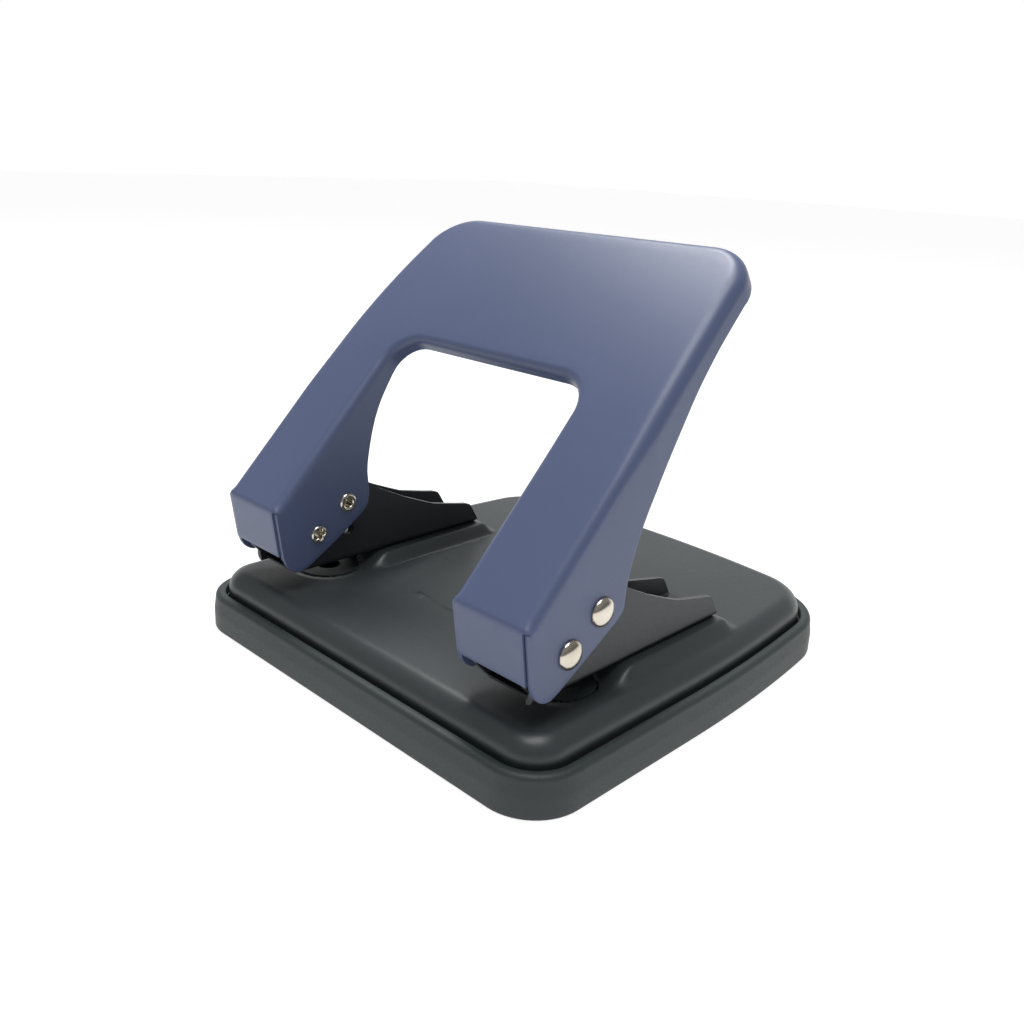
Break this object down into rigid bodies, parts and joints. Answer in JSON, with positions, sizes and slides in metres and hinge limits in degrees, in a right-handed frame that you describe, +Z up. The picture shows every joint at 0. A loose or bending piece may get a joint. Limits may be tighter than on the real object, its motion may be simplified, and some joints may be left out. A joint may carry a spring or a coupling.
{
  "type": "hole punch",
  "caption": "Desk hole punch: folded steel lever with wide crossbar over paired channel brackets and punches, on a rounded steel base with a clip-on chip tray.",
  "frame": {"origin": "centre of the tray's underside, on the surface that the punch stands on", "axes": "+X along the line of the two holes, +Y from the paper side to the rear, +Z up"},
  "size_m": [0.1192, 0.1204, 0.0995],
  "materials": {
    "lever_paint": "satin slate-blue powder coat",
    "plate_paint": "satin dark grey stove enamel",
    "tray_plastic": "fine-textured moulded plastic",
    "bracket_black": "satin black paint on pressed steel",
    "nickel": "bright nickel plate",
    "steel": "turned and ground steel",
    "spring_steel": "drawn spring wire",
    "clip_black": "phosphated spring steel"
  },
  "bodies": {
    "tray": {"chip_tray": "tray_plastic"},
    "base": {"base_plate": "plate_paint", "left_die": "plate_paint", "right_die": "plate_paint", "left_bracket": "bracket_black", "right_bracket": "bracket_black", "left_bracket_rivets": "steel", "right_bracket_rivets": "steel", "left_guide_bush": "steel", "right_guide_bush": "steel", "left_return_spring": "spring_steel", "right_return_spring": "spring_steel"},
    "lever": {"lever_handle": "lever_paint", "left_pivot_rivet": "nickel", "right_pivot_rivet": "nickel", "left_drive_rivet": "nickel", "right_drive_rivet": "nickel"},
    "left_punch_set": {"left_punch": "steel", "left_spring_washer": "steel", "left_punch_clip": "clip_black"},
    "right_punch_set": {"right_punch": "steel", "right_spring_washer": "steel", "right_punch_clip": "clip_black"}
  },
  "joints": [
    {"name": "tray_release", "type": "slide", "parent": "tray", "child": "base", "axis": [0, 0, 1], "range_m": [0, 0.016]},
    {"name": "lever_press", "type": "hinge", "parent": "base", "child": "lever", "pos_m": [0, -0.04265, 0.0275], "axis": [-1, 0, 0], "range_deg": [0, 40]},
    {"name": "left_punch_stroke", "type": "slide", "parent": "base", "child": "left_punch_set", "axis": [0, 0, -1], "range_m": [0, 0.0071], "stiffness_N_per_m": 400, "springref_m": -0.006, "deforming": ["left_return_spring"]},
    {"name": "right_punch_stroke", "type": "slide", "parent": "base", "child": "right_punch_set", "axis": [0, 0, -1], "range_m": [0, 0.0071], "stiffness_N_per_m": 400, "springref_m": -0.006, "deforming": ["right_return_spring"]}
  ],
  "couplings": [
    {"joint": "left_punch_stroke", "follows": "lever_press", "m_per_rad": 0.010027},
    {"joint": "right_punch_stroke", "follows": "lever_press", "m_per_rad": 0.010027}
  ]
}
